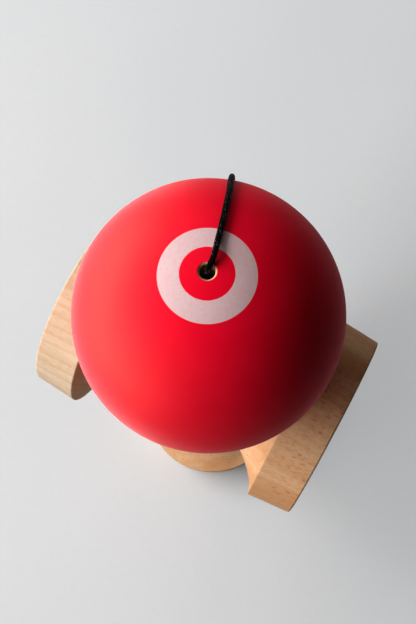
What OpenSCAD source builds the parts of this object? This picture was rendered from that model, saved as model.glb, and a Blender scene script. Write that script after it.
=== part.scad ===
// Kendama: a ball that rests on the spike of a turned wooden handle, a two-cup crosspiece
// pushed onto the handle's taper, and a string from the crosspiece to the ball.
// Frame: millimetres, origin on the table at the centre of the base cup, +Z up the handle,
// +X towards the small cup.

/* [Ball] */
// Diameter of the ball
ball_d = 60; // [54:0.5:72]
// Height of the spike's tip above the ball's centre
tip_reach = 12; // [8:0.5:13]
// Lean of the ball on the spike, in degrees
ball_lean = 3.4; // [0:0.1:5]
// Direction of that lean, in degrees from +X towards +Y
ball_lean_toward = 119; // [0:1:359]
// Width of the bevel round the spike hole
spike_hole_bevel = 2.4; // [1:0.1:4]
// Diameter of the string hole in the ball's top
ball_string_hole_d = 3.2; // [2.4:0.1:4]
// Width of the bevel round that string hole
string_hole_bevel = 0.4; // [0.2:0.05:0.8]

/* [Handle] */
// Height of the handle, from the table to the spike's tip
handle_h = 163; // [155:0.5:175]
// Diameter of the base cup at its rim
base_rim_d = 43.2; // [38:0.2:46]
// Depth of the base cup's hollow
base_depth = 9.5; // [6:0.5:12]
// Radius of the sweep from the base cup into the grip
base_sweep_r = 17; // [15:0.5:19]
// Height of the neck above the base cup
neck_z = 26; // [24:0.5:30]
// Diameter of the grip at its fullest
grip_d = 20.4; // [18.5:0.2:23]
// Diameter of the taper at the crosspiece's axis
taper_d = 15.6; // [14:0.1:17]
// Half angle of the taper, in degrees
taper_angle = 1.5; // [0.8:0.1:2]
// Diameter of the rounded spike tip
spike_tip_d = 8; // [6:0.2:9]

/* [Crosspiece] */
// Height of the spike's tip above the crosspiece's axis
spike_reach = 66; // [60:0.5:72]
// Rim diameter of the small cup
small_rim_d = 50.6; // [44:0.2:54]
// Distance from the handle's axis to the small cup's rim
small_reach = 37.2; // [34:0.2:42]
// Width of the small cup's outer band
small_band = 11.9; // [10:0.1:14]
// Depth of the small cup's hollow
small_depth = 12; // [8:0.5:15]
// Rim diameter of the big cup
big_rim_d = 51.4; // [45:0.2:56]
// Distance from the handle's axis to the big cup's rim
big_reach = 38.9; // [35:0.1:44]
// Width of the big cup's outer band
big_band = 11.6; // [10:0.1:14]
// Depth of the big cup's hollow
big_depth = 13; // [8:0.5:16]
// Diameter of the waist at the handle
waist_d = 22.2; // [21:0.1:25]
// Radius of the tight curve at each cup's back
cup_back_r = 7; // [4:0.5:9]
// Steepness of each cup's back at its ridge, in degrees from the crosspiece's axis
cup_back_angle = 85; // [75:1:88]
// Diameter of the string hole through the waist
waist_string_hole_d = 2.8; // [2:0.1:3.2]

/* [Cup edges] */
// Taper of the cups' outer bands, in degrees
band_taper = 4.5; // [0:0.1:5]
// Width of a cup's lip, from the hollow to the outside
cup_lip = 2.6; // [2.2:0.1:4]
// Rounding of the rim's outer edge
rim_round = 0.6; // [0.3:0.1:1.3]
// Rounding of the rim's inner edge
lip_round = 0.8; // [0.2:0.1:0.9]
// Rounding of the ridge between band and sweep
ridge_round = 0.4; // [0.2:0.1:1.5]

/* [String] */
// Diameter of the string
string_d = 1.3; // [0.8:0.1:1.6]
// Diameter of the stopper knots
knot_d = 3.6; // [3.3:0.1:4.4]
// Wraps in a stopper knot
knot_wraps = 3; // [2:1:4]
// Diameter of the bead inside the ball
bead_d = 7; // [5.5:0.1:8]

/* [Hidden] */
$fn = 96;

// Clearances: pushed fit, pieces that rest together, a string in its holes, and string ends
push_fit = 0.05;
rest_gap = 0.3;
bead_bore_gap = 0.15;
bead_side_gap = 0.8;
knot_side_gap = 0.6;
string_end_gap = 0.1;
// Overrun of a cut past the face that it opens
cut_overrun = 1;
// Taper left free above and below the crosspiece's waist
taper_margin = 3;
// How far the grip, the base's sweep and the taper run into each other
grip_overlap = 1.5;
// How far a rounding's circle runs past the faces that it joins
round_overlap = 0.01;
// Depth below the ball's surface at which the free string starts
string_start_depth = 2.5;
// Straight run of the string where it starts and ends
string_straight = 0.5;
// Half of a drill's point angle, at the end of the spike hole
drill_half_angle = 59;
// Spacing of a knot's wraps as a share of the string's diameter
wrap_pitch_share = 0.85;
// Rings of the string's tube for each stretch between two route points, and its sides
string_steps = 2;
string_sides = 8;

wood = "#e3bd94";
red = "#d3172e";
black = "#1c1b1d";
pale_wood = "#ecd2ae";

ball_r = ball_d / 2;
ball_z = handle_h - tip_reach;
crosspiece_z = handle_h - spike_reach;
waist_r = waist_d / 2;
tip_r = spike_tip_d / 2;
grip_r = grip_d / 2;
base_rim_r = base_rim_d / 2;
string_r = string_d / 2;
bead_r = bead_d / 2;

// The taper and the spike
grip_top_z = crosspiece_z - waist_r - taper_margin;
spike_z = crosspiece_z + waist_r + taper_margin;
function taper_r(z) = taper_d / 2 - (z - crosspiece_z) * tan(taper_angle);
function spike_r(z) =
    taper_r(spike_z) + (tip_r - taper_r(spike_z)) * (z - spike_z) / (handle_h - tip_r - spike_z);

// The grip is an arc between two necks, and the base's sweep and the taper run into it
neck_r = taper_r(grip_top_z);
grip_half = (grip_top_z - neck_z) / 2;
grip_curve_r = (grip_half ^ 2 + (grip_r - neck_r) ^ 2) / (2 * (grip_r - neck_r));
base_sweep_c = [neck_r + base_sweep_r, neck_z];
sweep_top_z = neck_z + grip_overlap;
taper_low_z = grip_top_z - grip_overlap;

// A cup's outer band: its radius at a height, and its slope
band_slope = tan(band_taper);
band_length = sqrt(1 + band_slope ^ 2);
function band_r(rim_r, rim_y, y) = rim_r + (rim_y - y) * band_slope;
// Centre of a circle of radius e inside the band that touches it and the sweep circle
function ridge_c(rim_r, rim_y, sweep_c, sweep_r, e) =
    let (
        a = rim_r + rim_y * band_slope - e * band_length - sweep_c.x,
        b = a * band_slope + sweep_c.y,
        w = sweep_r + e,
        y = (b + sqrt(b ^ 2 - band_length ^ 2 * (a ^ 2 + sweep_c.y ^ 2 - w ^ 2))) / band_length ^ 2
    )
    [sweep_c.x + a - band_slope * y, y];
function hollow_r(mouth_r, depth) = (mouth_r ^ 2 + depth ^ 2) / (2 * depth);

// The crosspiece's cups: the ridges of their bands, and from there to the centre of the tight curve
small_ridge = [band_r(small_rim_d / 2, small_reach, small_reach - small_band), small_reach - small_band];
big_ridge = [band_r(big_rim_d / 2, big_reach, big_reach - big_band), big_reach - big_band];
to_back_c = cup_back_r * [cos(cup_back_angle), -sin(cup_back_angle)];
// Radius of the wide curve that runs from the waist into the tight one round back_c
function waist_curve_r(back_c) =
    let (k = back_c.x - waist_r)
    (k ^ 2 + back_c.y ^ 2 - cup_back_r ^ 2) / (2 * (k - cup_back_r));

// The ball's bores, along its own axis from its centre
spike_hole_r = spike_r(ball_z - ball_r) + ball_r * sin(ball_lean) + rest_gap;
spike_mouth_r = spike_hole_r + spike_hole_bevel;
spike_mouth_h = -sqrt(ball_r ^ 2 - spike_mouth_r ^ 2);
spike_mouth_cut = ball_r + spike_mouth_h + cut_overrun;
string_hole_r = ball_string_hole_d / 2;
string_mouth_r = string_hole_r + string_hole_bevel;
string_mouth_h = sqrt(ball_r ^ 2 - string_mouth_r ^ 2);
bead_room_r = bead_r + bead_side_gap;
// Height of the drilled cone at a radius, where it clears the round tip of the leaning spike
drill_reach = (tip_reach - tip_r) * sin(drill_half_angle + ball_lean) + tip_r + rest_gap;
function drill_h(r) = (drill_reach - cos(drill_half_angle) * r) / sin(drill_half_angle);

// Knots, bead and the seat that the bead is drawn into
wrap_r = (knot_d - string_d) / 2;
wrap_pitch = string_d * wrap_pitch_share;
knot_h = string_d + (knot_wraps - 1) * wrap_pitch;
ball_knot_h = tip_reach + rest_gap;
bead_h = ball_knot_h + knot_h + string_end_gap + bead_r;
bead_seat_h = bead_h + (bead_r + rest_gap) * sqrt(2);
knot_hole_d = knot_d + 2 * knot_side_gap;
handle_knot_y = taper_r(crosspiece_z) + push_fit - rest_gap - knot_h;

// The string's route: out of the ball, over its back, down behind the handle to the table,
// round a loose loop there and up to the hole in the waist
ball_c = [0, 0, ball_z];
ball_axis = [
    sin(ball_lean) * cos(ball_lean_toward), sin(ball_lean) * sin(ball_lean_toward), cos(ball_lean)
];
string_start_h = ball_r - string_start_depth;
string_start = [
    for (h = [string_start_h + string_end_gap, string_start_h + string_straight]) ball_c + h * ball_axis
];
string_end = [
    for (y = [waist_r + string_straight, waist_r + string_end_gap]) [0, y, crosspiece_z]
];
string_route = concat(
    string_start,
    [
        [-0.87, 1.92, 180.33],
        [-0.93, 2.77, 181.18],
        [-1.02, 4.2, 181.71],
        [-2.1, 8.1, 180.6],
        [-3.1, 11.5, 179.35],
        [-4.1, 14.6, 177.75],
        [-5.2, 17.8, 175.53],
        [-6.3, 20.8, 172.75],
        [-7.5, 23.5, 169.36],
        [-8.5, 26.0, 165.05],
        [-9.3, 27.8, 160.3],
        [-9.8, 29.0, 154],
        [-9.9, 29.2, 148.5],
        [-10.1, 29.5, 138],
        [-10.2, 29.8, 114],
        [-10.2, 29.9, 90],
        [-10.2, 29.9, 66],
        [-10.1, 29.9, 44],
        [-10.0, 30.2, 26],
        [-9.6, 31.4, 12],
        [-8.9, 35.2, 3.4],
        [-7.0, 41.0, 1.0],
        [-2.5, 47.5, 0.8],
        [5.0, 51.5, 0.8],
        [13.0, 50.0, 0.8],
        [17.8, 43.5, 0.8],
        [15.6, 35.4, 1.0],
        [10.8, 29.0, 3.6],
        [7.4, 25.4, 10],
        [5.2, 23.0, 20],
        [3.6, 21.2, 38],
        [2.4, 20.0, 58],
        [1.2, 18.8, 80],
        [0.6, 18.2, 89],
        [0.2, 16.6, 94.4],
        [0, 14.3, 96.6]
    ],
    string_end
);

// Unit vector, and the part of v that is square to the unit vector t
function unit(v) = v / norm(v);
function square_to(v, t) = unit(v - (v * t) * t);

// A smooth curve through a route's points, with tangents weighed by the distances between them
function route_tangent(p, i) =
    i == 0 ? unit(p[1] - p[0]) :
    i == len(p) - 1 ? unit(p[i] - p[i - 1]) :
    let (a = p[i] - p[i - 1], b = p[i + 1] - p[i], la = norm(a), lb = norm(b))
    (a / la * lb + b / lb * la) / (la + lb);
function route_point(p, i, t) =
    let (l = norm(p[i + 1] - p[i]))
    p[i] * (2 * t ^ 3 - 3 * t ^ 2 + 1) + route_tangent(p, i) * l * (t ^ 3 - 2 * t ^ 2 + t)
    + p[i + 1] * (3 * t ^ 2 - 2 * t ^ 3) + route_tangent(p, i + 1) * l * (t ^ 3 - t ^ 2);
function smooth_route(p) = concat(
    [for (i = [0 : len(p) - 2], s = [0 : string_steps - 1]) route_point(p, i, s / string_steps)],
    [p[len(p) - 1]]
);

// A closed tube of flat sides along a curve's points, its rings turned as little as possible
module tube(points, radius, sides) {
    last = len(points) - 1;
    tangents = [
        for (i = [0 : last])
            i == 0 ? unit(points[1] - points[0]) :
            i == last ? unit(points[last] - points[last - 1]) :
            unit(unit(points[i] - points[i - 1]) + unit(points[i + 1] - points[i]))
    ];
    normals = [
        for (i = 0, n = square_to([1, 0, 0], tangents[0]); i <= last;
            i = i + 1, n = i <= last ? square_to(n, tangents[i]) : n) n
    ];
    rings = [
        for (i = [0 : last], k = [0 : sides - 1])
            points[i] + radius * (
                cos(360 * k / sides) * normals[i] + sin(360 * k / sides) * cross(tangents[i], normals[i])
            )
    ];
    walls = [
        for (i = [0 : last - 1], k = [0 : sides - 1])
            let (a = i * sides + k, b = i * sides + (k + 1) % sides)
            each [[a, a + sides, b], [b, a + sides, b + sides]]
    ];
    caps = [
        for (k = [1 : sides - 2])
            each [[0, k, k + 1], [last * sides, last * sides + k + 1, last * sides + k]]
    ];
    polyhedron(rings, concat(walls, caps));
}

// What comes off a corner that a circle of radius e at c rounds between two touching points
module corner_waste(corner, touch_a, c, touch_b, e) {
    difference() {
        polygon([2 * corner - c, touch_a, c, touch_b]);
        translate(c) circle(e + round_overlap);
    }
}

// All that the lathe takes off to shape a cup whose rim faces +Y: hollow, sweep and rounded edges
module cup_waste(rim_r, rim_y, depth, sweep_c, sweep_r) {
    mouth_r = rim_r - cup_lip;
    bowl_r = hollow_r(mouth_r, depth);
    bowl_c = [0, rim_y - depth + bowl_r];
    band_normal = [1, band_slope] / band_length;

    translate(bowl_c) circle(bowl_r);
    translate(sweep_c) circle(sweep_r + round_overlap);

    rim_c = [band_r(rim_r, rim_y, rim_y - rim_round) - rim_round * band_length, rim_y - rim_round];
    corner_waste([rim_r, rim_y], [rim_c.x, rim_y], rim_c, rim_c + rim_round * band_normal, rim_round);

    lip_c = [sqrt((bowl_r + lip_round) ^ 2 - (bowl_r - depth + lip_round) ^ 2), rim_y - lip_round];
    lip_touch = bowl_c + (lip_c - bowl_c) * bowl_r / (bowl_r + lip_round);
    corner_waste([mouth_r, rim_y], [lip_c.x, rim_y], lip_c, lip_touch, lip_round);

    ridge = ridge_c(rim_r, rim_y, sweep_c, sweep_r, 0);
    edge_c = ridge_c(rim_r, rim_y, sweep_c, sweep_r, ridge_round);
    edge_touch = sweep_c + (edge_c - sweep_c) * sweep_r / (sweep_r + ridge_round);
    corner_waste(ridge, edge_c + ridge_round * band_normal, edge_c, edge_touch, ridge_round);
}

// What the lathe takes off between the waist and the tight curve at the back of a cup
module waist_waste(ridge) {
    back_c = ridge + to_back_c;
    r = waist_curve_r(back_c);
    waist_c = [waist_r + r, 0];
    intersection() {
        translate(waist_c) circle(r);
        polygon([waist_c, waist_c + 2 * r * unit(back_c - waist_c), waist_c - [2 * r, 0]]);
    }
    polygon([back_c, ridge, [waist_c.x, ridge.y], waist_c]);
}

// The base cup with its sweep up to the neck
module base_profile() {
    difference() {
        polygon([
            [0, 0],
            [base_rim_r, 0],
            [band_r(base_rim_r, 0, -sweep_top_z), sweep_top_z],
            [0, sweep_top_z]
        ]);
        mirror([0, 1]) cup_waste(base_rim_r, 0, base_depth, [base_sweep_c.x, -base_sweep_c.y], base_sweep_r);
    }
}

// The full grip between the two necks
module grip_profile() {
    intersection() {
        translate([0, neck_z - grip_overlap]) square([grip_r, 2 * (grip_half + grip_overlap)]);
        translate([grip_r - grip_curve_r, neck_z + grip_half]) circle(grip_curve_r);
    }
}

// The taper for the crosspiece and the spike with its round tip
module spike_profile() {
    polygon([
        [0, taper_low_z],
        [taper_r(taper_low_z), taper_low_z],
        [taper_r(spike_z), spike_z],
        [tip_r, handle_h - tip_r],
        [0, handle_h - tip_r]
    ]);
    intersection() {
        translate([0, handle_h - tip_r]) circle(tip_r);
        translate([0, handle_h - spike_tip_d]) square([tip_r, spike_tip_d]);
    }
}

// A bore right through a node along Y at the crosspiece's axis
module cross_bore(d, reach) {
    translate([0, reach, crosspiece_z]) rotate([90, 0, 0]) cylinder(h = 2 * reach, d = d);
}

module handle() {
    color(wood) difference() {
        rotate_extrude() {
            base_profile();
            grip_profile();
            spike_profile();
        }
        cross_bore(knot_hole_d, taper_d);
    }
}

module crosspiece() {
    color(wood) difference() {
        translate([0, 0, crosspiece_z]) rotate([0, 90, 0]) rotate_extrude() difference() {
            polygon([
                [0, -big_reach],
                [big_rim_d / 2, -big_reach],
                [band_r(big_rim_d / 2, big_reach, 0), 0],
                [band_r(small_rim_d / 2, small_reach, 0), 0],
                [small_rim_d / 2, small_reach],
                [0, small_reach]
            ]);
            cup_waste(small_rim_d / 2, small_reach, small_depth, small_ridge + to_back_c, cup_back_r);
            waist_waste(small_ridge);
            mirror([0, 1]) {
                cup_waste(big_rim_d / 2, big_reach, big_depth, big_ridge + to_back_c, cup_back_r);
                waist_waste(big_ridge);
            }
        }
        translate([0, 0, grip_top_z]) cylinder(
            h = spike_z - grip_top_z,
            r1 = neck_r + push_fit,
            r2 = taper_r(spike_z) + push_fit
        );
        cross_bore(waist_string_hole_d, waist_d);
    }
}

// Places a child made along the ball's own axis
module on_ball_axis() {
    translate(ball_c) rotate([0, ball_lean, ball_lean_toward]) children();
}

module ball() {
    color(red) on_ball_axis() rotate_extrude() difference() {
        intersection() {
            circle(ball_r);
            translate([0, -ball_r]) square([ball_r, ball_d]);
        }
        polygon([
            [0, spike_mouth_h - spike_mouth_cut],
            [spike_mouth_r + spike_mouth_cut, spike_mouth_h - spike_mouth_cut],
            [spike_hole_r, spike_mouth_h + spike_hole_bevel],
            [spike_hole_r, drill_h(spike_hole_r)],
            [bead_room_r, drill_h(bead_room_r)],
            [bead_room_r, bead_seat_h - bead_room_r],
            [string_hole_r, bead_seat_h - string_hole_r],
            [string_hole_r, string_mouth_h - string_hole_bevel],
            [string_mouth_r + cut_overrun, string_mouth_h + cut_overrun],
            [0, string_mouth_h + cut_overrun]
        ]);
    }
}

module bead() {
    color(pale_wood) on_ball_axis() translate([0, 0, bead_h]) rotate_extrude() difference() {
        circle(bead_r);
        translate([-bead_r, -bead_r]) square([bead_r + string_r + bead_bore_gap, bead_d]);
    }
}

// A stopper knot along +Z with the string's straight end running on from it
module stopper_knot(string_l) {
    for (i = [0 : knot_wraps - 1])
        translate([0, 0, string_r + i * wrap_pitch]) rotate_extrude() translate([wrap_r, 0]) circle(string_r);
    translate([0, 0, string_r]) cylinder(h = knot_h - string_d, r = wrap_r);
    cylinder(h = string_l, r = string_r);
}

module ball_knot() {
    color(black) on_ball_axis() translate([0, 0, ball_knot_h]) stopper_knot(string_start_h - ball_knot_h);
}

module handle_knot() {
    color(black) translate([0, handle_knot_y, crosspiece_z]) rotate([-90, 0, 0])
        stopper_knot(waist_r - handle_knot_y);
}

module string() {
    color(black) tube(smooth_route(string_route), string_r, string_sides);
}

handle();
crosspiece();
ball();
bead();
ball_knot();
handle_knot();
string();
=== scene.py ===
import math

import bmesh
import bpy
from mathutils import Matrix, Vector


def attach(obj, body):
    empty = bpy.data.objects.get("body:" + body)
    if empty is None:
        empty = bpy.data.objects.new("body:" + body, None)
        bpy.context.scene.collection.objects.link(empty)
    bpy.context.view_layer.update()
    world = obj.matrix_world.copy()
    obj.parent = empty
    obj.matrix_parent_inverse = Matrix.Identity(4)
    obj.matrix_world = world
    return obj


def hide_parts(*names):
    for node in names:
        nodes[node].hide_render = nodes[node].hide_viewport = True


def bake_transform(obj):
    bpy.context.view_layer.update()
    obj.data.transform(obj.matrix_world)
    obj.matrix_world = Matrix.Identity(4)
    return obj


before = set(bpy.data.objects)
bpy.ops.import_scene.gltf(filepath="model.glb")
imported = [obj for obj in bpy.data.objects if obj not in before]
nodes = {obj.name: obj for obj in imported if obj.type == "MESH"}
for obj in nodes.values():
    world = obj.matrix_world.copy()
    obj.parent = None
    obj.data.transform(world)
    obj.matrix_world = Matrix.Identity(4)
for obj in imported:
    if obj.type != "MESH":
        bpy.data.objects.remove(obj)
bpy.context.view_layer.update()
bpy.context.scene.view_settings.view_transform = "Standard"

MM = 0.001

# The ball's place and lean, and the height of the crosspiece's axis, as in the part's source
BALL_CENTRE = Vector((0, 0, 151)) * MM
BALL_RADIUS = 30 * MM
BALL_LEAN = math.radians(3.4)
BALL_LEAN_TOWARD = math.radians(119)
BALL_TURN = Matrix.Rotation(BALL_LEAN_TOWARD, 3, "Z") @ Matrix.Rotation(BALL_LEAN, 3, "Y")
BALL_AXIS = BALL_TURN @ Vector((0, 0, 1))
CROSSPIECE_Z = 97 * MM

# Camera
SENSOR_WIDTH = 36
LENS = 60.58
CLIP_START = 10 * MM
CAMERA_PLACE = Vector((26.98, -45.23, 375.45)) * MM
CAMERA_LOOK = Vector((-0.11916, 0.19889, -0.97275)).normalized()
CAMERA_UP = Vector((-0.46496, 0.85448, 0.23167))


def place_camera():
    """The photograph's view, steeply from above."""
    data = bpy.data.cameras.new("camera")
    data.sensor_width = SENSOR_WIDTH
    data.lens = LENS
    data.clip_start = CLIP_START
    camera = bpy.data.objects.new("camera", data)
    bpy.context.scene.collection.objects.link(camera)
    right = CAMERA_LOOK.cross(CAMERA_UP).normalized()
    up = right.cross(CAMERA_LOOK)
    turn = Matrix((right, up, -CAMERA_LOOK)).transposed().to_4x4()
    camera.matrix_world = Matrix.Translation(CAMERA_PLACE) @ turn
    bpy.context.scene.camera = camera


place_camera()

# String
STRING_DIAMETER = 1.3 * MM
STRING_SIDES = 24
STRING_STEP = 0.18 * MM

# The braid: strands wound each way, the length of one turn, the radius's share that is left in the hollows
# between strands, and how full the strands are
BRAID_STRANDS = 6
BRAID_PITCH = 4.4 * MM
BRAID_HOLLOW = 0.87
BRAID_FULLNESS = 0.6

# The stopper knots: their wraps, and ends that are drawn in to a share of the radius over 1 / KNOT_EASE of
# the knot
KNOT_RADIUS = 1.15 * MM
KNOT_WRAPS = 3
WRAP_PITCH = 1.105 * MM
WRAP_STEPS = 40
KNOT_EASE = 6
KNOT_END_REACH = 0.35
BALL_KNOT_HEIGHT = 12.3 * MM
HANDLE_KNOT_Y = 4.04 * MM

# The string's route in millimetres: heights on the ball's axis, points from the ball's hole over its back to
# the table and up to the waist's hole, and distances from the handle's axis in that hole
HEIGHTS_IN_BALL = (12.9, 17, 22, 26, 28)
STRING_ROUTE = [
    (-0.87, 1.92, 180.33), (-0.93, 2.77, 181.18), (-1.02, 4.2, 181.71), (-2.1, 8.1, 180.6),
    (-3.1, 11.5, 179.35), (-4.1, 14.6, 177.75), (-5.2, 17.8, 175.53), (-6.3, 20.8, 172.75),
    (-7.5, 23.5, 169.36), (-8.5, 26.0, 165.05), (-9.3, 27.8, 160.3), (-9.8, 29.0, 154),
    (-9.9, 29.2, 148.5), (-10.1, 29.5, 138), (-10.2, 29.8, 114), (-10.2, 29.9, 90),
    (-10.2, 29.9, 66), (-10.1, 29.9, 44), (-10.0, 30.2, 26), (-9.6, 31.4, 12),
    (-8.9, 35.2, 3.4), (-7.0, 41.0, 1.0), (-2.5, 47.5, 0.8), (5.0, 51.5, 0.8),
    (13.0, 50.0, 0.8), (17.8, 43.5, 0.8), (15.6, 35.4, 1.0), (10.8, 29.0, 3.6),
    (7.4, 25.4, 10), (5.2, 23.0, 20), (3.6, 21.2, 38), (2.4, 20.0, 58),
    (1.2, 18.8, 80), (0.6, 18.2, 89), (0.2, 16.6, 94.4), (0, 14.3, 96.6),
]
DISTANCES_IN_WAIST = (11.6, 9, 4.6)


def on_ball_axis(height):
    """The point on the ball's leaning axis at a height above its centre."""
    return BALL_CENTRE + height * BALL_AXIS


def smooth_line(points, spacing):
    """A smooth curve through the points, sampled about every spacing."""
    def tangent(i):
        if i == 0:
            return (points[1] - points[0]).normalized()
        if i == len(points) - 1:
            return (points[i] - points[i - 1]).normalized()
        a = points[i] - points[i - 1]
        b = points[i + 1] - points[i]
        la = a.length
        lb = b.length
        return (a / la * lb + b / lb * la) / (la + lb)

    line = []
    for i in range(len(points) - 1):
        p = points[i]
        q = points[i + 1]
        length = (q - p).length
        tp = tangent(i) * length
        tq = tangent(i + 1) * length
        steps = max(1, round(length / spacing))
        for k in range(steps):
            t = k / steps
            line.append(
                p * (2 * t**3 - 3 * t**2 + 1) + tp * (t**3 - 2 * t**2 + t)
                + q * (3 * t**2 - 2 * t**3) + tq * (t**3 - t**2)
            )
    line.append(points[-1])
    return line


def braided_string(name, line):
    """A string of braided strands along a line: each strand shows as a row of low diamonds."""
    mesh = bpy.data.meshes.new(name)
    bm = bmesh.new()
    uv = bm.loops.layers.uv.new("along_string")
    crown = bm.verts.layers.float.new("crown")
    radius = STRING_DIAMETER / 2
    last = len(line) - 1
    normal = None
    walked = 0.0
    rings = []
    lengths = []
    for i, p in enumerate(line):
        t = (line[min(i + 1, last)] - line[max(i - 1, 0)]).normalized()
        if normal is None:
            normal = t.orthogonal()
        normal = (normal - t * normal.dot(t)).normalized()
        side = t.cross(normal)
        if i:
            walked += (p - line[i - 1]).length
        ring = []
        for k in range(STRING_SIDES):
            turn = k / STRING_SIDES
            u = BRAID_STRANDS * (turn + walked / BRAID_PITCH)
            v = BRAID_STRANDS * (turn - walked / BRAID_PITCH)
            rise = abs(math.sin(math.pi * u) * math.sin(math.pi * v)) ** BRAID_FULLNESS
            out = math.cos(2 * math.pi * turn) * normal + math.sin(2 * math.pi * turn) * side
            vert = bm.verts.new(p + out * radius * (BRAID_HOLLOW + (1 - BRAID_HOLLOW) * rise))
            vert[crown] = rise
            ring.append(vert)
        rings.append(ring)
        lengths.append(walked)
    for i in range(last):
        for k in range(STRING_SIDES):
            m = (k + 1) % STRING_SIDES
            face = bm.faces.new((rings[i][k], rings[i][m], rings[i + 1][m], rings[i + 1][k]))
            face.smooth = True
            corners = ((k, i), (k + 1, i), (k + 1, i + 1), (k, i + 1))
            for loop, (a, b) in zip(face.loops, corners):
                loop[uv].uv = (a / STRING_SIDES, lengths[b] / STRING_DIAMETER)
    bm.faces.new(list(reversed(rings[0])))
    bm.faces.new(rings[last])
    bmesh.ops.recalc_face_normals(bm, faces=bm.faces)
    bm.to_mesh(mesh)
    bm.free()
    piece = bpy.data.objects.new(name, mesh)
    bpy.context.scene.collection.objects.link(piece)
    return piece


def knot_line(start, axis):
    """The line of a stopper knot's wraps, wound along an axis round the string."""
    across = axis.orthogonal().normalized()
    side = axis.cross(across)
    line = []
    steps = WRAP_STEPS * KNOT_WRAPS
    for k in range(steps + 1):
        share = k / steps
        turn = 2 * math.pi * KNOT_WRAPS * share
        ease = min(1, KNOT_EASE * share, KNOT_EASE * (1 - share))
        reach = KNOT_RADIUS * (KNOT_END_REACH + (1 - KNOT_END_REACH) * ease)
        height = STRING_DIAMETER / 2 + WRAP_PITCH * (KNOT_WRAPS - 1) * share
        line.append(start + axis * height + reach * (math.cos(turn) * across + math.sin(turn) * side))
    return line


string_points = [on_ball_axis(height * MM) for height in HEIGHTS_IN_BALL]
string_points += [Vector(point) * MM for point in STRING_ROUTE]
string_points += [Vector((0, y * MM, CROSSPIECE_Z)) for y in DISTANCES_IN_WAIST]
string_line = smooth_line(string_points, STRING_STEP)
ball_knot_line = knot_line(on_ball_axis(BALL_KNOT_HEIGHT), BALL_AXIS)
handle_knot_line = knot_line(Vector((0, HANDLE_KNOT_Y, CROSSPIECE_Z)), Vector((0, 1, 0)))
string = braided_string("braided_string", string_line)
ball_knot = braided_string("ball_knot_wraps", ball_knot_line)
handle_knot = braided_string("handle_knot_wraps", handle_knot_line)

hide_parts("string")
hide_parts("ball_knot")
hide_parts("handle_knot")
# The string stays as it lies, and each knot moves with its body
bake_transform(string)
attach(ball_knot, "bead_body")
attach(handle_knot, "handle_body")


# Materials
class Finish:
    """A material under construction, with short calls to add and join its nodes."""

    def __init__(self, name, **sockets):
        self.material = bpy.data.materials.new(name)
        self.material.use_nodes = True
        self.tree = self.material.node_tree
        self.shader = self.tree.nodes["Principled BSDF"]
        for socket, value in sockets.items():
            self.shader.inputs[socket.replace("_", " ")].default_value = value

    def add(self, kind, inputs=None, **settings):
        node = self.tree.nodes.new(kind)
        for key, value in settings.items():
            setattr(node, key, value)
        for socket, value in (inputs or {}).items():
            if isinstance(value, bpy.types.NodeSocket):
                self.tree.links.new(value, node.inputs[socket])
            else:
                node.inputs[socket].default_value = value
        return node

    def join(self, socket, value):
        self.tree.links.new(value, self.shader.inputs[socket])

    def math(self, operation, a, b=0.0):
        return self.add("ShaderNodeMath", {0: a, 1: b}, operation=operation).outputs[0]

    def plus(self, a, b):
        return self.math("ADD", a, b)

    def minus(self, a, b):
        return self.math("SUBTRACT", a, b)

    def times(self, a, b):
        return self.math("MULTIPLY", a, b)

    def reach(self, a, b):
        """How far a point at a and b lies from the middle."""
        return self.math("SQRT", self.plus(self.times(a, a), self.times(b, b)))

    def place(self, location=(0, 0, 0), rotation=(0, 0, 0), kind="POINT"):
        """The piece's own coordinates, moved and turned."""
        coords = self.add("ShaderNodeTexCoord").outputs["Object"]
        return self.add(
            "ShaderNodeMapping",
            {"Vector": coords, "Location": location, "Rotation": rotation},
            vector_type=kind,
        ).outputs[0]

    def parts(self, vector):
        return self.add("ShaderNodeSeparateXYZ", {0: vector}).outputs

    def length(self, vector):
        return self.add("ShaderNodeVectorMath", {0: vector}, operation="LENGTH").outputs["Value"]

    def stretch(self, vector, scale):
        return self.add("ShaderNodeVectorMath", {0: vector, 1: scale}, operation="MULTIPLY").outputs[0]

    def noise(self, vector, scale, detail=2.0, roughness=0.5, distortion=0.0):
        inputs = {
            "Vector": vector,
            "Scale": scale,
            "Detail": detail,
            "Roughness": roughness,
            "Distortion": distortion,
        }
        return self.add("ShaderNodeTexNoise", inputs).outputs["Fac"]

    def streaks(self, grain, along, across, **settings):
        """Noise drawn out along the grain (X), by its scales along and across it."""
        return self.noise(self.stretch(grain, (along, across, across)), 1.0, **settings)

    def spots(self, vector, scale, share, core, edge):
        """Short marks at random: a share of a pattern's cells, each full at its core and gone at its edge."""
        inputs = {"Vector": self.stretch(vector, scale), "Scale": 1.0, "Randomness": 1.0}
        cells = self.add("ShaderNodeTexVoronoi", inputs).outputs
        pick = self.add("ShaderNodeSeparateColor", {0: cells["Color"]}).outputs[0]
        chosen = self.math("LESS_THAN", pick, share)
        return self.times(chosen, self.between(cells["Distance"], core, edge, 1.0, 0.0))

    def between(self, value, low, high, start=0.0, end=1.0):
        """Value from low to high spread smoothly from start to end."""
        return self.add(
            "ShaderNodeMapRange",
            {"Value": value, "From Min": low, "From Max": high, "To Min": start, "To Max": end},
            interpolation_type="SMOOTHSTEP",
        ).outputs[0]

    def mix(self, share, a, b):
        return self.add("ShaderNodeMix", {0: share, 6: a, 7: b}, data_type="RGBA").outputs[2]

    def bump(self, height, strength, distance):
        inputs = {"Height": height, "Strength": strength, "Distance": distance}
        self.join("Normal", self.add("ShaderNodeBump", inputs).outputs[0])


def tone(r, g, b):
    """A colour given as it looks on screen, from 0 to 255."""
    def linear(c):
        c /= 255
        return c / 12.92 if c <= 0.04045 else ((c + 0.055) / 1.055) ** 2.4
    return (linear(r), linear(g), linear(b), 1)
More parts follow.
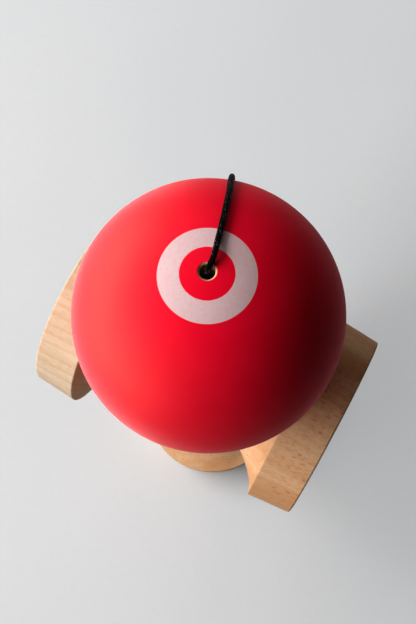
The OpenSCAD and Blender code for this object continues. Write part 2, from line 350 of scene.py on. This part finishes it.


# Beech; its warm, dark tones are partly the wood's own colour and partly painted shade and red light bounced
# from the ball
EARLY_WOOD_PALE = tone(226, 203, 174)
EARLY_WOOD_WARM = tone(224, 179, 136)
DENSE_WOOD_PALE = tone(209, 177, 143)
DENSE_WOOD_WARM = tone(206, 148, 101)
LATE_WOOD = tone(206, 150, 105)
FIBRE = tone(201, 149, 108)
PORE = tone(176, 98, 54)
FLECK = tone(170, 84, 44)
RAY = tone(166, 84, 46)

# The growth of one year, how far its ring wanders, where the tree's pith lies beside the grain's axis, how
# far lines of pores sway, and the turn that stands the grain upright
RING_SPACING = 2.4 * MM
RING_DRIFT = 6 * MM
PITH_OFFSET = (48 * MM, 31 * MM)
PORE_SWAY = 1.2 * MM
GRAIN_UPRIGHT = (0, math.pi / 2, 0)


def growth_rings(finish, grain):
    """Darker late wood at the end of each year's growth, in rings about a pith off the piece."""
    parts = finish.parts(grain)
    y = finish.minus(parts[1], PITH_OFFSET[0])
    z = finish.minus(parts[2], PITH_OFFSET[1])
    drift = finish.times(finish.streaks(grain, 14, 70), RING_DRIFT)
    years = finish.math("DIVIDE", finish.plus(finish.reach(y, z), drift), RING_SPACING)
    season = finish.math("FRACT", years)
    late = finish.between(season, 0.35, 0.9)
    return finish.times(late, finish.between(season, 0.93, 1.0, 1.0, 0.0))


def beech_colour(finish, grain, warmth_and_shade=0.3):
    """Beech with its grain along X, from pale and plain to warm and well marked, the warm end partly painted
    shade and red bounce light: colour, height, fibres.
    """
    bands = finish.streaks(grain, 9, 110, detail=3.0, roughness=0.55, distortion=0.6)
    rings = growth_rings(finish, grain)
    fibres = finish.streaks(grain, 60, 3200, detail=3.0, roughness=0.6)
    sway = finish.times(finish.streaks(grain, 45, 160, detail=1.0), PORE_SWAY)
    swayed = finish.add("ShaderNodeCombineXYZ", {1: sway}).outputs[0]
    bent = finish.add("ShaderNodeVectorMath", {0: grain, 1: swayed}, operation="ADD").outputs[0]
    crowd = finish.between(finish.streaks(grain, 50, 190), 0.34, 0.66, 0.45, 1.0)
    pores = finish.spots(bent, scale=(430, 4300, 4300), share=0.75, core=0.15, edge=0.5)
    flecks = finish.spots(bent, scale=(380, 1900, 1900), share=0.08, core=0.1, edge=0.45)
    rays = finish.spots(bent, scale=(520, 1200, 1200), share=0.05, core=0.1, edge=0.42)
    marked = finish.between(warmth_and_shade, 0.0, 1.0, 0.45, 1.25)
    pores = finish.times(finish.times(pores, crowd), marked)
    flecks = finish.times(flecks, marked)
    rays = finish.times(rays, marked)

    early = finish.mix(warmth_and_shade, EARLY_WOOD_PALE, EARLY_WOOD_WARM)
    dense = finish.mix(warmth_and_shade, DENSE_WOOD_PALE, DENSE_WOOD_WARM)
    colour = finish.mix(finish.between(bands, 0.32, 0.7), early, dense)
    colour = finish.mix(finish.times(rings, 0.32), colour, LATE_WOOD)
    colour = finish.mix(finish.between(fibres, 0.42, 0.75, 0.0, 0.3), colour, FIBRE)
    colour = finish.mix(finish.times(pores, 0.52), colour, PORE)
    colour = finish.mix(finish.times(flecks, 0.45), colour, FLECK)
    colour = finish.mix(finish.times(rays, 0.5), colour, RAY)
    height = finish.minus(fibres, finish.times(pores, 0.6))
    return colour, height, fibres


def beech(name, rotation, shift, warm_from, warm_to):
    """Beech that grows warmer, darker and more marked along X, from one place to another: partly the wood's
    own change, partly painted shade and red light bounced from the ball.
    """
    finish = Finish(name, Specular_IOR_Level=0.04)
    grain = finish.place(location=shift, rotation=rotation)
    along = finish.parts(finish.place())[0]
    warmth_and_shade = finish.between(along, warm_from, warm_to)
    colour, height, fibres = beech_colour(finish, grain, warmth_and_shade)
    finish.join("Base Color", colour)
    finish.join("Roughness", finish.between(fibres, 0.3, 0.75, 0.54, 0.68))
    finish.bump(height, strength=0.14, distance=0.06 * MM)
    return finish.material


# Paint on the ball
PAINT_DEEP = tone(241, 4, 38)
PAINT_BRIGHT = tone(246, 9, 42)
PRINTED_RING = tone(222, 196, 197)
# The printed ring's edges, their softness and raggedness, and how far the ring is struck off the string hole,
# away from the ball's lean
RING_INNER = 5.48 * MM
RING_OUTER = 9.8 * MM
RING_SOFT = 0.06 * MM
RING_RAGGED = 0.08 * MM
RING_OFFSET = -0.3 * MM
# From the ball's centre: bare wood lies within, and paint beyond
BARE_WITHIN = BALL_RADIUS - 0.1 * MM
PAINT_BEYOND = BALL_RADIUS - 0.06 * MM


def painted_ball():
    """Matt red paint with a plain pale printed ring round the string hole, and bare wood in the holes."""
    finish = Finish("red_paint_on_ball", Specular_IOR_Level=0.05)
    lean = (0, BALL_LEAN, BALL_LEAN_TOWARD)
    centred = finish.place(location=tuple(BALL_CENTRE), rotation=lean, kind="TEXTURE")
    x, y, z = finish.parts(centred)
    soft = finish.noise(centred, 90)
    fine = finish.noise(centred, 1500, detail=3.0, roughness=0.6)
    paint = finish.mix(finish.between(soft, 0.3, 0.7), PAINT_DEEP, PAINT_BRIGHT)

    off_axis = finish.reach(finish.minus(x, RING_OFFSET), y)
    ragged = finish.plus(off_axis, finish.times(finish.minus(fine, 0.5), RING_RAGGED))
    inside = finish.between(ragged, RING_INNER - RING_SOFT, RING_INNER + RING_SOFT)
    outside = finish.between(ragged, RING_OUTER - RING_SOFT, RING_OUTER + RING_SOFT, 1.0, 0.0)
    on_top = finish.math("GREATER_THAN", z, 0.0)
    printed = finish.times(finish.times(inside, outside), on_top)
    mottled = finish.between(fine, 0.3, 0.62, 0.8, 0.93)
    coat = finish.mix(finish.times(printed, mottled), paint, PRINTED_RING)

    bare = finish.between(finish.length(centred), BARE_WITHIN, PAINT_BEYOND, 1.0, 0.0)
    wood = beech_colour(finish, finish.place(rotation=GRAIN_UPRIGHT))[0]
    finish.join("Base Color", finish.mix(bare, coat, wood))
    finish.join("Roughness", finish.between(fine, 0.3, 0.7, 0.53, 0.59))
    finish.bump(fine, strength=0.08, distance=0.04 * MM)
    return finish.material


# Black string, with painted shade between the strands, painted light on their crowns and painted glints
PAINTED_STRAND_SHADE = tone(2, 2, 2)
PAINTED_CROWN_LIGHT = tone(36, 35, 37)
PAINTED_GLINT = tone(150, 148, 151)


def black_string():
    """Black braided string: painted shade between the strands, painted light on their crowns, and painted
    glints of filament.
    """
    finish = Finish("black_braided_string", Roughness=0.7, Specular_IOR_Level=0.05)
    crown = finish.add("ShaderNodeAttribute", attribute_name="crown").outputs["Fac"]
    along = finish.add("ShaderNodeUVMap", uv_map="along_string").outputs[0]
    fibres = finish.noise(finish.stretch(along, (30, 9, 1)), 1.0)
    fibre_patches = finish.between(fibres, 0.3, 0.7, 0.5, 1.0)
    # Painted light on the strands' crowns, patchy along the fibres
    crown_light = finish.times(finish.between(crown, 0.5, 1.0), fibre_patches)
    # Painted glints of light: sparse bright spots along the string
    painted_glints = finish.spots(along, scale=(14, 3.4, 1), share=0.3, core=0.05, edge=0.4)
    # Painted shade in the hollows between strands, painted light on their crowns
    colour = finish.mix(crown_light, PAINTED_STRAND_SHADE, PAINTED_CROWN_LIGHT)
    finish.join("Base Color", finish.mix(painted_glints, colour, PAINTED_GLINT))
    finish.bump(fibres, strength=0.3, distance=0.03 * MM)
    return finish.material


# Wood of the bead
BEAD_PALE = tone(240, 214, 176)
BEAD_BROWN = tone(218, 182, 138)


def bead_wood():
    """Pale wood with a fine upright grain."""
    finish = Finish("pale_bead_wood", Roughness=0.45)
    lines = finish.streaks(finish.place(rotation=GRAIN_UPRIGHT), 40, 700, detail=3.0, roughness=0.6)
    finish.join("Base Color", finish.mix(finish.between(lines, 0.3, 0.7), BEAD_PALE, BEAD_BROWN))
    finish.bump(lines, strength=0.15, distance=0.05 * MM)
    return finish.material


def dress(node, material):
    """Puts a material on a CAD node."""
    nodes[node].material_slots[0].material = material


# Each wooden piece is cut from its own place in the tree
HANDLE_SHIFT = (0, 0.03, 0.02)
CROSSPIECE_SHIFT = (0.137, 0.01, -0.09)

string_finish = black_string()
for piece in (string, ball_knot, handle_knot):
    piece.data.materials.append(string_finish)
# The handle and the crosspiece's +X cup are drawn warmer and darker: partly the beech's own colour, partly
# painted shade and red bounce light from the ball
dress("handle", beech("handle_beech", GRAIN_UPRIGHT, HANDLE_SHIFT, warm_from=-0.13, warm_to=0.03))
dress("crosspiece", beech("crosspiece_beech", (0, 0, 0), CROSSPIECE_SHIFT, warm_from=-0.03, warm_to=0.02))
dress("ball", painted_ball())
dress("bead", bead_wood())

# Stage and light
FLOOR_Z = -0.1 * MM
FLOOR_RADIUS = 0.3
FLOOR_SPREAD = 10
FLOOR_GREY = tone(217, 219, 221)
FLOOR_PALE = tone(222, 223, 224)
FLOOR_SPECK = tone(199, 201, 202)
# What the floor throws back as light, the backdrop's even grey, and where the floor fades into it
FLOOR_BOUNCE = tone(140, 140, 140)
BACKDROP = tone(214, 215, 216)
FADE_FROM = 0.14
FADE_TO = 0.36

# The level direction that goes up in the photograph, which the windows' long sides follow
WINDOW_ALONG = Vector((-0.478, 0.878, 0))
TOY_MIDDLE = (0, 0, 0.12)
FILL_COLOUR = (0.92, 0.96, 1.0, 1)
FILL_STRENGTH = 0.006


def seen_share(finish):
    """1 where the camera looks at a surface itself or in a reflection, 0 for light that bounces off it."""
    path = finish.add("ShaderNodeLightPath").outputs
    return finish.math("MAXIMUM", path["Is Camera Ray"], path["Is Glossy Ray"])


def make_floor():
    """A wide pale floor that fades into the backdrop far from the toy."""
    bpy.ops.object.select_all(action="DESELECT")
    bpy.ops.mesh.primitive_circle_add(
        vertices=96, radius=FLOOR_RADIUS, fill_type="NGON", location=(0, 0, FLOOR_Z)
    )
    floor = bpy.context.object
    floor.name = "floor"
    bpy.ops.object.mode_set(mode="EDIT")
    bpy.ops.mesh.select_all(action="SELECT")
    bpy.ops.mesh.extrude_edges_move()
    bpy.ops.transform.resize(value=(FLOOR_SPREAD, FLOOR_SPREAD, 1))
    bpy.ops.object.mode_set(mode="OBJECT")

    finish = Finish("pale_floor", Roughness=0.8, Specular_IOR_Level=0.0)
    where = finish.place()
    cloud = finish.noise(where, 7, detail=3.0)
    speck = finish.noise(where, 420, detail=3.0, roughness=0.6)
    shade = finish.mix(finish.between(cloud, 0.3, 0.7), FLOOR_GREY, FLOOR_PALE)
    shade = finish.mix(finish.between(speck, 0.45, 0.8, 0.0, 0.1), shade, FLOOR_SPECK)
    seen = seen_share(finish)
    finish.join("Base Color", finish.mix(seen, FLOOR_BOUNCE, shade))
    faded = finish.times(seen, finish.between(finish.length(where), FADE_FROM, FADE_TO))
    near = finish.shader.outputs[0]
    far = finish.add("ShaderNodeEmission", {"Color": BACKDROP, "Strength": 1.0}).outputs[0]
    blend = finish.add("ShaderNodeMixShader", {0: faded, 1: near, 2: far})
    output = finish.tree.nodes["Material Output"]
    finish.tree.links.new(blend.outputs[0], output.inputs["Surface"])
    floor.data.materials.append(finish.material)


def window_light(name, place, aim, size, power, colour=(1, 1, 1), diffuse=True, glossy=True, only=None):
    """A soft rectangular light, for all that stands there or for one piece only."""
    data = bpy.data.lights.new(name, "AREA")
    data.shape = "RECTANGLE"
    data.size, data.size_y = size
    data.energy = power
    data.color = colour
    lamp = bpy.data.objects.new(name, data)
    back = (Vector(place) - Vector(aim)).normalized()
    side = (WINDOW_ALONG - back * WINDOW_ALONG.dot(back)).normalized()
    turn = Matrix((side, back.cross(side), back)).transposed().to_4x4()
    lamp.matrix_world = Matrix.Translation(place) @ turn
    lamp.visible_camera = False
    lamp.visible_diffuse = diffuse
    lamp.visible_glossy = glossy
    if only:
        lit = bpy.data.collections.new("lit_by_" + name)
        lit.objects.link(only)
        lamp.light_linking.receiver_collection = lit
    bpy.context.scene.collection.objects.link(lamp)


def room_light():
    """An even backdrop for the camera, and a weak fill for everything else."""
    world = bpy.data.worlds.new("room")
    bpy.context.scene.world = world
    world.use_nodes = True
    tree = world.node_tree
    output = tree.nodes["World Output"]
    fill = tree.nodes["Background"]
    fill.inputs["Color"].default_value = FILL_COLOUR
    fill.inputs["Strength"].default_value = FILL_STRENGTH
    backdrop = tree.nodes.new("ShaderNodeBackground")
    backdrop.inputs["Color"].default_value = BACKDROP
    path = tree.nodes.new("ShaderNodeLightPath")
    blend = tree.nodes.new("ShaderNodeMixShader")
    tree.links.new(path.outputs["Is Camera Ray"], blend.inputs[0])
    tree.links.new(fill.outputs[0], blend.inputs[1])
    tree.links.new(backdrop.outputs[0], blend.inputs[2])
    tree.links.new(blend.outputs[0], output.inputs["Surface"])


make_floor()
window_light("window", place=(-1.144, -0.55, 0.86), aim=TOY_MIDDLE, size=(2.1, 1.0), power=47, glossy=False)
window_light("side_window", place=(-0.853, 0.629, 1.181), aim=TOY_MIDDLE, size=(1.2, 1.2), power=4)
# Two soft gleams on the ball's paint alone
window_light(
    "low_window", place=(-0.31, -0.14, 0.14), aim=(0, 0, 0.15), size=(0.9, 0.28), power=15.5,
    colour=(1, 1, 0.62), diffuse=False, only=nodes["ball"],
)
window_light(
    "table_glow", place=(-0.144, 0.035, 0.003), aim=(-0.144, 0.035, 1), size=(0.42, 0.14), power=0.7,
    diffuse=False, only=nodes["ball"],
)
room_light()
